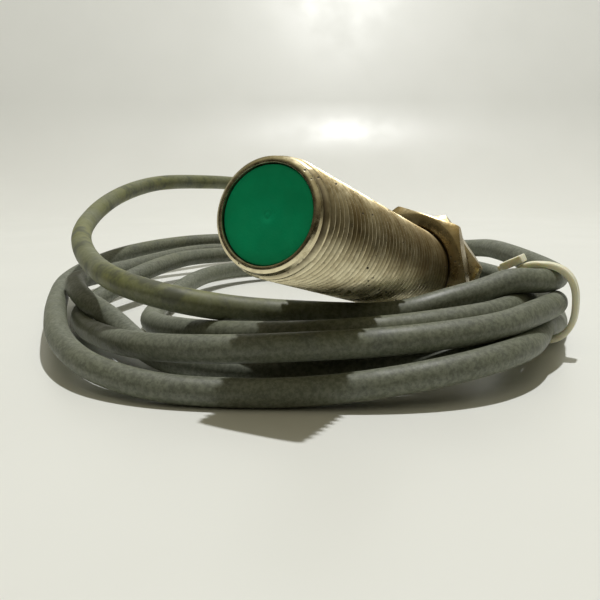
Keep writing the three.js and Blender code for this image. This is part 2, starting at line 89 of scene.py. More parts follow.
# ---- node materials --------------------------------------------------------------------------
class Shade:
    """A small helper that adds shader nodes to one material and links them."""

    def __init__(self, name):
        self.material = bpy.data.materials.new(name)
        self.material.use_nodes = True
        self.nodes = self.material.node_tree.nodes
        self.links = self.material.node_tree.links
        self.shader = self.nodes["Principled BSDF"]
        self.coords = self.nodes.new("ShaderNodeTexCoord").outputs["Object"]

    def feed(self, socket, value):
        if isinstance(value, bpy.types.NodeSocket):
            self.links.new(value, socket)
        else:
            socket.default_value = value

    def set(self, **values):
        for name, value in values.items():
            socket = self.shader.inputs[name.replace("_", " ")]
            if isinstance(value, tuple) and len(value) == 3:
                value = (*value, 1)
            self.feed(socket, value)

    def stretched(self, scale):
        mapping = self.nodes.new("ShaderNodeMapping")
        mapping.inputs["Scale"].default_value = scale
        self.links.new(self.coords, mapping.inputs["Vector"])
        return mapping.outputs["Vector"]

    def noise(self, scale, detail=4, rough=0.55, coords=None):
        node = self.nodes.new("ShaderNodeTexNoise")
        self.links.new(coords or self.coords, node.inputs["Vector"])
        node.inputs["Scale"].default_value = scale
        node.inputs["Detail"].default_value = detail
        node.inputs["Roughness"].default_value = rough
        return node.outputs["Fac"]

    def spots(self, scale, coords=None):
        node = self.nodes.new("ShaderNodeTexVoronoi")
        self.links.new(coords or self.coords, node.inputs["Vector"])
        node.inputs["Scale"].default_value = scale
        return node.outputs["Distance"]

    def attribute(self, name):
        node = self.nodes.new("ShaderNodeAttribute")
        node.attribute_name = name
        return node.outputs["Fac"]

    def span(self, value, low, high, out_low=0.0, out_high=1.0):
        node = self.nodes.new("ShaderNodeMapRange")
        node.interpolation_type = "SMOOTHSTEP"
        self.links.new(value, node.inputs["Value"])
        for name, number in zip(("From Min", "From Max", "To Min", "To Max"), (low, high, out_low, out_high)):
            node.inputs[name].default_value = number
        return node.outputs["Result"]

    def math(self, kind, a, b=0.0):
        node = self.nodes.new("ShaderNodeMath")
        node.operation = kind
        self.feed(node.inputs[0], a)
        self.feed(node.inputs[1], b)
        return node.outputs[0]

    def mix(self, factor, a, b):
        node = self.nodes.new("ShaderNodeMix")
        node.data_type = "RGBA"
        self.feed(node.inputs[0], factor)
        for socket, value in ((node.inputs[6], a), (node.inputs[7], b)):
            self.feed(socket, (*value, 1) if isinstance(value, tuple) else value)
        return node.outputs[2]

    def bump(self, *layers):
        """Layers are (height socket, strength, distance in metres)."""
        normal = None
        for height, strength, distance in layers:
            node = self.nodes.new("ShaderNodeBump")
            node.inputs["Strength"].default_value = strength
            node.inputs["Distance"].default_value = distance
            self.links.new(height, node.inputs["Height"])
            if normal is not None:
                self.links.new(normal, node.inputs["Normal"])
            normal = node.outputs["Normal"]
        self.links.new(normal, self.shader.inputs["Normal"])


def plated_metal(name, bright, tarnish, roughness, edge_attribute=None):
    """Nickel over brass: brown film, kept off the underside and front rim, which are painted paler as a
    painted reflection of the lit table and a painted rim highlight; darker brown towards the rear; pits;
    thread roots and bores darkened with painted shade and some dirt; brass at worn edges.
    """
    s = Shade(name)
    # painted_light marks the barrel's underside and front rim, which are painted paler as a painted reflection
    # and highlight; the brown film keeps off them.
    painted_light = s.math("MULTIPLY", s.attribute("painted_light"), s.span(s.noise(240, 4), 0.25, 0.5, 0.6, 1))
    outside_painted_light = s.math("SUBTRACT", 1.0, painted_light)
    colour = s.mix(s.span(s.noise(260, 5), 0.36, 0.66), bright, tarnish)
    film = s.math("MULTIPLY", outside_painted_light, s.span(s.noise(150, 6, 0.65), 0.38, 0.62, 0.15, 0.9))
    colour = s.mix(film, colour, (0.32, 0.245, 0.12))
    # Mix towards pale nickel where painted_light is set: a painted reflection of the lit table on the
    # underside and a painted highlight on the front rim.
    colour = s.mix(s.math("MULTIPLY", painted_light, 0.5), colour, (0.90, 0.83, 0.59))
    streaks = s.span(s.noise(900, 3, coords=s.stretched((1, 0.25, 1))), 0.45, 0.75, 0, 0.4)
    colour = s.mix(streaks, colour, (0.26, 0.20, 0.10))
    # Thread roots and bores darken almost to black: painted shade, with some dirt.
    groove_dirt_and_shade = s.math("MULTIPLY", s.attribute("groove_dirt_and_shade"), s.span(outside_painted_light, 0, 1, 0.86, 0.95))
    colour = s.mix(groove_dirt_and_shade, colour, (0.070, 0.050, 0.026))
    # Darker brown towards the rear on the upper side of the barrel.
    rear_darkening = s.math("MULTIPLY", s.attribute("rear_darkening"), s.span(s.noise(170, 5, 0.6), 0.3, 0.6, 0.5, 1))
    colour = s.mix(rear_darkening, colour, (0.185, 0.135, 0.065))
    pits = s.math("MULTIPLY", s.span(s.spots(950), 0.10, 0.24, 1, 0), s.span(s.noise(190, 2), 0.52, 0.60))
    colour = s.mix(pits, colour, (0.05, 0.038, 0.02))
    if edge_attribute:
        worn = s.math("MULTIPLY", s.attribute(edge_attribute), s.span(s.noise(420, 3), 0.35, 0.6))
        colour = s.mix(worn, colour, (0.66, 0.48, 0.21))
    s.set(Base_Color=colour, Metallic=s.math("SUBTRACT", 1.0, s.math("MULTIPLY", pits, 0.8)))
    rough = s.span(s.noise(700, 4), 0.3, 0.7, roughness - 0.06, roughness + 0.1)
    rough = s.math("SUBTRACT", rough, s.math("MULTIPLY", painted_light, 0.09))
    rough = s.math("ADD", rough, s.math("MULTIPLY", groove_dirt_and_shade, 0.2))
    rough = s.math("ADD", rough, s.math("MULTIPLY", rear_darkening, 0.12))
    s.set(Roughness=s.math("ADD", rough, s.math("MULTIPLY", pits, 0.3)))
    s.bump((s.noise(1500, 3), 0.14, 0.0001), (s.noise(300, 2), 0.1, 0.0002), (pits, 0.3, -0.0001))
    return s.material


def moulded(name, base, shade, roughness, grain=2200, depth=0.1, sheen=0.5, coat=0.0):
    """Moulded plastic or rubber: faint clouding, fine grain and a slightly uneven gloss."""
    s = Shade(name)
    colour = s.mix(s.span(s.noise(160, 5), 0.3, 0.7), base, shade)
    s.set(Base_Color=colour)
    s.set(Roughness=s.span(s.noise(500, 4), 0.3, 0.7, roughness - 0.06, roughness + 0.06))
    s.shader.inputs["Specular IOR Level"].default_value = sheen
    s.shader.inputs["Coat Weight"].default_value = coat
    s.bump((s.noise(grain, 2), depth, 0.0001))
    return s.material


def cable_sheath():
    """Grey PVC, with olive staining where it has been handled, pale scuffs and dark rubbed marks."""
    s = Shade("cable_sheath")
    grey = s.mix(s.span(s.noise(1400, 3, 0.7), 0.35, 0.65), (0.215, 0.232, 0.178), (0.118, 0.129, 0.096))
    blotch = s.span(s.noise(150, 6, 0.68), 0.44, 0.62)
    stain = s.math("MULTIPLY", s.attribute("stain"), s.span(s.noise(75, 5, 0.65), 0.34, 0.62, 0.35, 1))
    olive = s.mix(blotch, (0.215, 0.225, 0.06), (0.088, 0.096, 0.045))
    colour = s.mix(stain, grey, olive)
    rub = s.span(s.noise(240, 6, 0.7), 0.60, 0.74, 0, 0.55)
    colour = s.mix(rub, colour, (0.075, 0.074, 0.052))
    scuff = s.span(s.noise(420, 5, 0.7), 0.64, 0.76, 0, 0.35)
    colour = s.mix(scuff, colour, (0.26, 0.265, 0.21))
    s.set(Base_Color=colour)
    s.set(Roughness=s.span(s.noise(180, 4), 0.3, 0.7, 0.48, 0.64))
    s.shader.inputs["Specular IOR Level"].default_value = 0.6
    s.shader.inputs["Diffuse Roughness"].default_value = 0.5
    s.bump((s.noise(2600, 2), 0.10, 0.0001), (s.noise(320, 4), 0.16, 0.0002), (rub, 0.12, -0.0001))
    return s.material


def sensing_plastic():
    """The green cap: fine spark-eroded grain, with a slightly paler middle round the gate mark."""
    s = Shade("sensing_plastic")
    colour = s.mix(s.span(s.noise(130, 5), 0.3, 0.7), (0.0, 0.35, 0.145), (0.0, 0.29, 0.118))
    colour = s.mix(s.math("MULTIPLY", s.attribute("gate"), 0.35), colour, (0.0, 0.40, 0.19))
    dust = s.span(s.noise(900, 5, 0.7), 0.66, 0.78, 0, 0.4)
    colour = s.mix(dust, colour, (0.01, 0.46, 0.23))
    s.set(Base_Color=colour, Roughness=s.span(s.noise(600, 3), 0.3, 0.7, 0.42, 0.55))
    s.shader.inputs["Specular IOR Level"].default_value = 0.2
    s.bump((s.noise(3200, 2), 0.18, 0.0001), (s.noise(450, 3), 0.06, 0.0002))
    return s.material


def translucent(name, base, shade, roughness, weight, radius, transmission=0.0):
    s = Shade(name)
    s.set(Base_Color=s.mix(s.span(s.noise(220, 4), 0.35, 0.65), base, shade))
    s.set(Roughness=s.span(s.noise(700, 3), 0.3, 0.7, roughness - 0.05, roughness + 0.08))
    s.shader.inputs["Subsurface Weight"].default_value = weight
    s.shader.inputs["Subsurface Radius"].default_value = (1.0, 0.8, 0.5)
    s.shader.inputs["Subsurface Scale"].default_value = radius
    s.shader.inputs["Transmission Weight"].default_value = transmission
    s.bump((s.noise(1800, 2), 0.06, 0.0001))
    return s.material


def winding_metal():
    """Fine enamelled wire, wound in layers round the sensor's axis."""
    s = Shade("winding_metal")
    wave = s.nodes.new("ShaderNodeTexWave")
    wave.bands_direction = "Y"
    wave.inputs["Scale"].default_value = 900
    wave.inputs["Distortion"].default_value = 0.6
    s.links.new(s.coords, wave.inputs["Vector"])
    s.set(Base_Color=s.mix(wave.outputs["Fac"], (0.42, 0.15, 0.05), (0.70, 0.32, 0.13)), Metallic=1.0)
    s.set(Roughness=s.span(s.noise(800), 0.3, 0.7, 0.25, 0.4))
    s.bump((wave.outputs["Fac"], 0.4, 0.0001))
    return s.material


def board_mask():
    s = Shade("board_mask")
    weave = s.math("MULTIPLY", s.noise(1600, 1, coords=s.stretched((1, 0.2, 1))), s.noise(1600, 1))
    colour = s.mix(s.span(weave, 0.15, 0.35), (0.010, 0.105, 0.035), (0.016, 0.15, 0.055))
    s.set(Base_Color=colour, Roughness=s.span(s.noise(500), 0.3, 0.7, 0.28, 0.4))
    s.bump((weave, 0.12, 0.0001))
    return s.material


MATERIALS = {
    "barrel": plated_metal("barrel_nickel", (0.76, 0.68, 0.46), (0.56, 0.48, 0.29), 0.31),
    "nut": plated_metal("nut_nickel", (0.64, 0.56, 0.37), (0.40, 0.32, 0.18), 0.26, "edge"),
    "steel": plated_metal("washer_zinc", (0.62, 0.61, 0.57), (0.45, 0.43, 0.38), 0.34),
    "solder": plated_metal("solder_tin", (0.70, 0.68, 0.64), (0.55, 0.53, 0.49), 0.30),
    "cable": cable_sheath(),
    "green": sensing_plastic(),
    "nylon": translucent("tie_nylon", (0.84, 0.82, 0.62), (0.78, 0.75, 0.55), 0.38, 0.35, 0.0012),
    "amber_cap": translucent("cap_amber", (0.62, 0.50, 0.20), (0.55, 0.43, 0.16), 0.28, 0.3, 0.001, 0.25),
    "lens": translucent("lens_amber", (0.75, 0.42, 0.06), (0.68, 0.36, 0.05), 0.15, 0.2, 0.0005, 0.5),
    "boot": moulded("boot_rubber", (0.035, 0.035, 0.032), (0.05, 0.05, 0.045), 0.62, 1800, 0.2),
    "seal": moulded("seal_nitrile", (0.018, 0.018, 0.018), (0.026, 0.026, 0.025), 0.5),
    "epoxy": moulded("potting_resin", (0.020, 0.019, 0.017), (0.030, 0.028, 0.025), 0.25, 900, 0.08),
    "white": moulded("carrier_plastic", (0.62, 0.58, 0.46), (0.56, 0.52, 0.40), 0.5),
    "ferrite": moulded("core_ferrite", (0.028, 0.027, 0.026), (0.045, 0.044, 0.042), 0.7, 2400, 0.35),
    "chip": moulded("chip_epoxy", (0.012, 0.012, 0.013), (0.022, 0.022, 0.022), 0.45, 2600, 0.25),
    "ceramic": moulded("chip_ceramic", (0.42, 0.29, 0.16), (0.36, 0.24, 0.12), 0.45, 2600, 0.15),
    "resistor": moulded("resistor_glaze", (0.012, 0.012, 0.015), (0.02, 0.02, 0.022), 0.3, 2000, 0.1),
    "diode": moulded("diode_glass", (0.50, 0.16, 0.05), (0.42, 0.12, 0.04), 0.12, 1200, 0.05, coat=0.6),
    "copper": winding_metal(),
    "board": board_mask(),
    "brown": moulded("wire_brown_pvc", (0.085, 0.032, 0.013), (0.11, 0.042, 0.018), 0.36, 2400, 0.08),
    "blue": moulded("wire_blue_pvc", (0.012, 0.055, 0.24), (0.016, 0.07, 0.28), 0.36, 2400, 0.08),
    "black": moulded("wire_black_pvc", (0.012, 0.012, 0.012), (0.02, 0.02, 0.02), 0.36, 2400, 0.08),
}


# ---- mesh pieces -----------------------------------------------------------------------------
def piece(name, matrix, verts, faces, material, node, body="sensor", sharp=32, attributes=None):
    """One closed mesh from points in millimetres in the matrix's frame. Welds, and faces it outwards."""
    mesh = bpy.data.meshes.new(name)
    mesh.from_pydata([place(matrix, v) for v in verts], [], faces)
    for key, values in (attributes or {}).items():
        layer = mesh.attributes.new(key, "FLOAT", "POINT")
        layer.data.foreach_set("value", values)
    bm = bmesh.new()
    bm.from_mesh(mesh)
    bmesh.ops.remove_doubles(bm, verts=bm.verts, dist=2e-6)
    bmesh.ops.dissolve_degenerate(bm, edges=bm.edges, dist=1e-6)
    bmesh.ops.recalc_face_normals(bm, faces=bm.faces)
    for face in bm.faces:
        face.smooth = True
    limit = math.radians(sharp)
    for edge in bm.edges:
        edge.smooth = len(edge.link_faces) == 2 and edge.calc_face_angle(0) < limit
    bm.to_mesh(mesh)
    bm.free()
    obj = bpy.data.objects.new(name, mesh)
    obj.data.materials.append(MATERIALS[material])
    bpy.context.collection.objects.link(obj)
    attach(obj, body)
    if node:
        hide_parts(*([node] if isinstance(node, str) else node))
    return obj


def rounded(profile, cut=0.15, steps=2):
    """Rounds each corner of a closed (radius, y) profile that carries no zero radius."""
    out = []
    count = len(profile)
    for i, corner in enumerate(profile):
        here = Vector(corner)
        before, after = Vector(profile[i - 1]), Vector(profile[(i + 1) % count])
        if here.x < 1e-6:
            out.append(tuple(here))
            continue
        reach = min(cut, (before - here).length * 0.45, (after - here).length * 0.45)
        start = here + (before - here).normalized() * reach
        end = here + (after - here).normalized() * reach
        for k in range(steps + 1):
            t = k / steps
            out.append(tuple(start * (1 - t) ** 2 + here * 2 * t * (1 - t) + end * t**2))
    return out


def revolve(profile, segments=72, warp=None):
    """Points and faces of a closed profile turned about Y, which may touch the axis."""
    verts, faces = [], []
    count = len(profile)
    for j in range(segments):
        angle = 2 * math.pi * j / segments
        for radius, y in profile:
            if warp:
                radius, y = warp(radius, y, angle)
            verts.append((radius * math.sin(angle), y, radius * math.cos(angle)))
    for j in range(segments):
        a, b = j * count, ((j + 1) % segments) * count
        for k in range(count):
            m = (k + 1) % count
            if profile[k][0] < 1e-6 and profile[m][0] < 1e-6:
                continue
            faces.append((a + k, b + k, b + m, a + m))
    return verts, faces


# ---- barrel ----------------------------------------------------------------------------------
def barrel():
    """The threaded tube, with a true helix that runs out at each end."""
    columns = 120
    phases = (0.0, 0.13, 0.40, 0.46, 0.54, 0.60, 0.87)
    depths = (1.0, 0.97, 0.10, 0.0, 0.0, 0.10, 0.97)
    start, end = 0.3, BARREL_LENGTH - 0.9
    crest = THREAD_RADIUS - CREST_WEAR
    # The upper side turns darker brown towards the rear, from here on.
    darkening_from, darkening_over, most_darkening = 14, 34, 0.75

    def crest_at(y):
        """The lead-in taper at the front trims the first crests."""
        return min(THREAD_RADIUS, 8.26 + 0.27 * y) - CREST_WEAR

    turns = int((end - start) / THREAD_PITCH) + 3
    rows = turns * len(phases)
    verts, faces, groove_dirt_and_shade, painted_light, rear_darkening = [], [], [], [], []
    for j in range(columns):
        angle = 2 * math.pi * j / columns
        # The underside is painted paler, as a painted reflection of the lit table below it.
        underside_reflection = min(1.0, max(0.0, (-math.cos(angle) - 0.1) / 0.5))
        for k in range(rows):
            turn, step = divmod(k, len(phases))
            y = start + THREAD_PITCH * (turn - 1.5 + phases[step] + j / columns)
            depth = depths[step]
            run_in = min(1, max(0, (y - start) / 0.4)) * min(1, max(0, (end - y) / 1.2))
            y = min(max(y, start), end)
            wear = 0.03 * noise.noise(Vector((math.sin(angle) * 3, y * 0.5, math.cos(angle) * 3)))
            radius = crest - THREAD_DEPTH * depth * run_in + (wear * run_in if depth < 0.2 else 0)
            radius = min(radius, crest_at(y))
            verts.append((radius * math.sin(angle), y, radius * math.cos(angle)))
            # The thread roots carry painted shade, with some dirt.
            groove_dirt_and_shade.append(depth * run_in)
            painted_light.append(underside_reflection)
            rear_darkening.append((1 - underside_reflection) * min(1.0, max(0.0, (y - darkening_from) / darkening_over)) * most_darkening)
    for j in range(columns):
        for k in range(rows - 1):
            a = j * rows + k
            b = (j + 1) * rows + k
            if j == columns - 1:
                b = k + len(phases)
                if k + 1 + len(phases) >= rows:
                    continue
            faces.append((a, b, b + 1, a + 1))
    # Front rim, bore and rear face join the two ends of the thread.
    ends = rounded([(crest, end), (crest - 0.75, BARREL_LENGTH), (BORE_RADIUS, BARREL_LENGTH),
                    (BORE_RADIUS, 0), (7.86, 0), (crest_at(start), start)], 0.12)
    ends = [(crest, end)] + ends[3:-3] + [(crest_at(start), start)]
    base = len(verts)
    count = len(ends)
    for j in range(columns):
        angle = 2 * math.pi * j / columns
        for radius, y in ends:
            verts.append((radius * math.sin(angle), y, radius * math.cos(angle)))
            # The bore carries painted shade.
            groove_dirt_and_shade.append(0.9 if radius < BORE_RADIUS + 0.02 else 0.0)
            # The front rim takes full painted light, a painted highlight; the bore and rear faces take a
            # little painted light.
            painted_light.append(1.0 if y <= start else 0.35)
            rear_darkening.append(0.0)
    for j in range(columns):
        a, b = base + j * count, base + ((j + 1) % columns) * count
        for k in range(count - 1):
            faces.append((a + k, b + k, b + k + 1, a + k + 1))
    return piece("barrel", SENSOR, verts, faces, "barrel", "threaded_barrel",
                 sharp=40, attributes={"groove_dirt_and_shade": groove_dirt_and_shade, "painted_light": painted_light, "rear_darkening": rear_darkening})


# ---- sensing cap -----------------------------------------------------------------------------
def cap():
    """Green cup whose face has a small dimpled gate mark in the middle and a rounded edge."""
    gate_mark = [(0, 0.36), (0.22, 0.37), (0.42, 0.42), (0.6, 0.41), (0.75, 0.36)]
    face = gate_mark + [(1.6, 0.35), (3.4, 0.35), (5.4, 0.35)]
    profile = face + [(6.9, 0.35), (7.08, 0.39), (7.18, 0.5), (7.2, 0.66), (7.2, 8.9), (7.1, 9), (6.7, 9),
                      (6.65, 8.9), (6.65, 1.5), (6.5, 1.35), (0, 1.35)]
    verts, faces = revolve(profile, 96)
    gate = [max(0.0, 1 - math.hypot(v[0], v[2]) / 4) ** 2 for v in verts]
    return piece("cap", SENSOR, verts, faces, "green", "sensing_cap",
                 attributes={"gate": gate})


# ---- lock nuts -------------------------------------------------------------------------------
CORNER_WEAR = 0.01
FRONT_NUT_Y = 57.0
REAR_NUT_Y = 63.4


def nut(name, y0, corner_angle, node, body):
    """Hexagon nut with 30 degree bevels that cut each flat in an arc, and slightly rubbed corners."""
    thickness, flat, corner = 3.9, 12.0, 13.78
    face_radius, bore, slope = 11.7, 9.1, math.tan(math.radians(30))
    columns = 144
    verts, faces, edge, groove_dirt_and_shade = [], [], [], []
    for j in range(columns):
        angle = 2 * math.pi * j / columns
        # angle here turns from up' to the side, so a corner at c from the side lies at 90 - c.
        from_corner = (angle - (math.pi / 2 - corner_angle) + math.pi / 6) % (math.pi / 3) - math.pi / 6
        hexagon = flat / math.cos(math.pi / 6 - abs(from_corner))
        outer = min(hexagon, corner - CORNER_WEAR * abs(math.degrees(from_corner)) ** 0.5)
        lift = (outer - face_radius) * slope
        worn = max(0.0, (outer - 12.9) / 0.88)
        ring = [
            (bore, 0.5, 0.8), (bore + 0.45, 0.0, 0.3), (10.4, 0.0, 0), (face_radius - 0.12, 0.0, 0),
            (face_radius + 0.05, 0.05, 0.1), (outer - 0.12, max(lift - 0.06, 0.06), worn),
            (outer, lift + 0.06, worn), (outer, 1.3, worn * 0.7), (outer, thickness - 1.3, worn * 0.7),
            (outer, thickness - lift - 0.06, worn), (outer - 0.12, thickness - max(lift - 0.06, 0.06), worn),
            (face_radius + 0.05, thickness - 0.05, 0.1), (face_radius - 0.12, thickness, 0),
            (10.4, thickness, 0), (bore + 0.45, thickness, 0.3), (bore, thickness - 0.5, 0.8),
        ]
        for radius, y, wear in ring:
            verts.append((radius * math.sin(angle), y0 + y, radius * math.cos(angle)))
            edge.append(wear if radius > 11 else 0.0)
            # The bore carries painted shade.
            groove_dirt_and_shade.append(0.8 if radius < bore + 0.1 else 0.0)
    count = 16
    for j in range(columns):
        a, b = j * count, ((j + 1) % columns) * count
        for k in range(count):
            m = (k + 1) % count
            faces.append((a + k, b + k, b + m, a + m))
    return piece(name, SENSOR, verts, faces, "nut", node, body=body, sharp=24,
                 attributes={"edge": edge, "groove_dirt_and_shade": groove_dirt_and_shade})


# ---- rear end --------------------------------------------------------------------------------
def rear_parts():
    """Rear cap, boot and the jacket's end inside the boot."""
    cap_profile = rounded([
        (3.5, 61), (6.9, 61), (6.9, 64.2), (5.8, 64.2), (5.8, 66), (6.9, 66), (6.9, 70.3), (8, 70.3),
        (8, 73.2), (7.2, 74.4), (4.75, 74.4), (4.75, 70.4), (3.5, 70.4),
    ], 0.18)

    def grip(radius, y, angle):
        """Shallow finger flutes round the cap's rim."""
        if radius > 7.6 and 70.6 < y < 73.6:
            radius -= 0.14 * (0.5 + 0.5 * math.cos(18 * angle)) ** 2
        return radius, y

    verts, faces = revolve(cap_profile, 144, grip)
    piece("rear_cap_shell", SENSOR, verts, faces, "amber_cap", "rear_cap")

    def taper(y):
        return 4.45 + (3.2 - 4.45) * (y - 74.7) / (86 - 74.7)

    profile = [(2.6, 70.7), (4.45, 70.7), (4.45, 74.7)]
    for y in (76.6, 79.4, 82.2):
        root = taper(y) - 0.55
        profile += [(taper(y), y), (root, y + 0.3), (root, y + 1), (taper(y + 1.3), y + 1.3)]
    profile += [(3.2, 86), (2.6, 86)]
    verts, faces = revolve(rounded(profile, 0.16), 64)
    piece("boot", SENSOR, verts, faces, "boot", "relief_boot")
    verts, faces = revolve(
        [(0, 61.6), (2.15, 61.6), (2.3, 61.75), (2.3, 85.55), (2.15, 85.7), (0, 85.7)], 32)
    stain = [0.3] * len(verts)
    piece("jacket_in_boot", SENSOR, verts, faces, "cable", "jacket_end",
          attributes={"stain": stain})


# ---- cable -----------------------------------------------------------------------------------
# The route in the coil frame, in millimetres. The lead and the last turn repeat the CAD's tubes. The
# cable runs through the four turns between them in order, and each was laid to one strand at the front.
LEAD = [(35.1, -2.6, 7.3), (38.1, 3.2, 5.6), (40.6, 9.5, 3.4), (41.6, 15.5, 2.45)]
TURNS = [
    [(41.5, 21, 2.4), (37, 35, 2.4), (26, 48, 2.4), (10, 55.5, 2.4), (-6, 54.5, 3), (-18.4, 46.8, 4.2),
     (-27, 33, 4.4), (-31, 16.5, 3.8), (-32.8, 0, 3), (-33, -16, 2.8), (-30, -30, 4.2),
     (-23.3, -44.5, 6.3), (-13, -57.4, 8.3), (0, -62.6, 9.4), (13, -61.8, 10), (25.9, -58.6, 10.9),
     (35.2, -51.2, 10.9), (42.9, -37.8, 11.2)],
    [(47.2, -25, 7.6), (49, -8, 4.8), (48.5, 8, 3), (45.5, 24, 3.2), (38, 40, 5), (27, 52, 4.6),
     (14, 61, 2.9), (0, 66.8, 2.9), (-14, 68.5, 6), (-27, 61.5, 8.2), (-38, 50, 8), (-46.5, 32, 7.4),
     (-51.5, 13, 7.8), (-53, -6, 8.8), (-49, -16, 8), (-44.5, -24, 7), (-38.2, -31.8, 5.6),
     (-32, -42, 4.3), (-24.5, -52.8, 3), (-12, -60.5, 2.8), (2, -63, 3.2), (17, -62, 4.4),
     (30, -59, 5.8), (36.8, -51, 6.6), (42.5, -37.6, 6.8)],
    [(49, -24, 2.9), (53.6, -8, 2.5), (53.4, 8, 2.4), (50, 24, 2.4), (43, 42, 2.6), (30, 57, 4.5),
     (12, 66, 7), (-8, 65, 7.8), (-24.2, 55, 7.6), (-33, 40, 8.6), (-38.6, 23.6, 8.4), (-43.4, 9, 7.2),
     (-47.6, -3, 4.8), (-49.4, -13, 3.2), (-46.6, -23, 2.7), (-38.8, -39, 4), (-31.2, -53, 5.9),
     (-23.7, -62, 7.2), (-12.5, -66.8, 8.1), (0, -67.6, 8.7), (15.2, -66.3, 9.3), (29, -62.6, 10.2),
     (39, -54, 10.3), (48.5, -40.4, 10.5)],
    [(52.6, -24, 7.6), (56, -6, 6.6), (56, 10, 6.2), (53, 27, 6.2), (45, 46, 6.2), (32, 63, 6),
     (12, 74, 6.5), (-10, 77, 9), (-29, 71, 10.4), (-45, 57, 10), (-55, 41, 8.8), (-59.4, 24, 7.2),
     (-59.8, 9, 6.2), (-57.3, -4, 5.6), (-53.9, -17, 5.4), (-48.8, -33.5, 5.8), (-43.2, -48.4, 5.2),
     (-33.7, -62.3, 3.8), (-20, -69.4, 2.4), (0, -71.1, 2.5), (15, -71, 4.3), (28.5, -66.9, 6),
     (38.2, -57.6, 6.4), (46.2, -40.4, 6)],
]
LAST_TURN = [
    (54.2, -25, 2.9), (59.2, -7, 2.35), (60.8, 14, 2.35), (57.5, 35, 2.6), (50, 56, 5), (38, 77, 10),
    (21, 92, 17), (0, 99.5, 23.5), (-19, 97, 28), (-34, 81, 29.6), (-46.4, 62.8, 29.6),
    (-54, 39, 26), (-55.2, 15.4, 21.2), (-48.8, -12.6, 18.3), (-38.9, -36, 16.1), (-30, -49.5, 15.1),
    (-20.4, -54.8, 13.6), (-10.3, -54, 11.8), (0, -52.4, 10.8), (9.2, -52.2, 10.4), (17.5, -52, 10.5),
    (26.4, -50, 12.8), (36, -46.6, 14.2), (47.1, -39.8, 14.6), (52.4, -28.5, 14), (51.6, -15, 14.6),
    (49.4, -1, 15.2), (48.5, 14, 14.6), (45, 30, 12.6), (37.5, 45, 11.6), (26, 56, 11.7), (14, 62, 11.9),
]


# What the cable keeps clear of, along the sensor's axis and out from it.
NUTS_SPAN, NUT_REACH = (56.5, 67.8), 13.95
CAP_SPAN, CAP_REACH = (70, 74.5), 8.3


def smooth_route(stations, step):
    """Centripetal Catmull-Rom through the stations, resampled at an even step."""
    points = [Vector(p) for p in stations]
    points = [points[0] * 2 - points[1], *points, points[-1] * 2 - points[-2]]
    dense = []
    for i in range(1, len(points) - 2):
        p = points[i - 1:i + 3]
        knots = [0.0]
        for a, b in zip(p, p[1:]):
            knots.append(knots[-1] + max((b - a).length, 1e-6) ** 0.5)
        for k in range(24):
            t = knots[1] + (knots[2] - knots[1]) * k / 24
            layer = p
            for level in (1, 2, 3):
                layer = [
                    layer[m] + (layer[m + 1] - layer[m]) * ((t - knots[m]) / (knots[m + level] - knots[m]))
                    if level == 1 else
                    layer[m].lerp(layer[m + 1], (t - knots[m]) / (knots[m + level] - knots[m]))
                    for m in range(len(layer) - 1)
                ]
            dense.append(layer[0])
    dense.append(points[-2])
    return resample(dense, step)


def resample(points, step):
    lengths = [0.0]
    for a, b in zip(points, points[1:]):
        lengths.append(lengths[-1] + (b - a).length)
    count = max(2, round(lengths[-1] / step))
    out, k = [], 0
    for i in range(count + 1):
        target = lengths[-1] * i / count
        while k < len(lengths) - 2 and lengths[k + 1] < target:
            k += 1
        share = (target - lengths[k]) / max(lengths[k + 1] - lengths[k], 1e-9)
        out.append(points[k].lerp(points[k + 1], share))
    return out


def settle(points, radius, rounds=70):
    """Eases strands out of each other, off the barrel and nuts and up to the table, keeping them smooth."""
    step = (points[1] - points[0]).length
    far_along = int(4 * math.pi * radius / step)
    apart = 2 * radius + 0.04
    to_sensor = SENSOR.inverted() @ COIL
    to_coil = to_sensor.inverted()
    turn_back = to_coil.to_3x3()
    fixed = int(12 / step)
    for _ in range(rounds):
        tree = kdtree.KDTree(len(points))
        for i, p in enumerate(points):
            tree.insert(p, i)
        tree.balance()
        moves = [Vector() for _ in points]
        for i, p in enumerate(points):
            for q, j, gap in tree.find_range(p, apart):
                if abs(j - i) > far_along and gap > 1e-6:
                    moves[i] += (p - q) / gap * (apart - gap) * 0.3
            local = to_sensor @ p
            bar = THREAD_RADIUS
            if NUTS_SPAN[0] < local.y < NUTS_SPAN[1]:
                bar = NUT_REACH
            elif CAP_SPAN[0] < local.y < CAP_SPAN[1]:
                bar = CAP_REACH
            away = Vector((local.x, 0, local.z))
            clear = bar + radius + 0.08
            if 0 < local.y < CAP_SPAN[1] and away.length < clear:
                push = away.normalized() * (clear - away.length) * 0.5
                moves[i] += turn_back @ push
            if p.z < radius:
                moves[i].z += radius - p.z
        moved = [p + m * min(1, 0.6 / max(m.length, 1e-6)) for p, m in zip(points, moves)]
        reach = max(1, int(2.4 / step))
        for i in range(fixed, len(points) - 3):
            k = min(reach, len(points) - 1 - i)
            middle = (moved[i - k] + moved[i + k]) * 0.5
            points[i] = moved[i].lerp(middle, 0.06)
            points[i].z = max(points[i].z, radius)
    return points


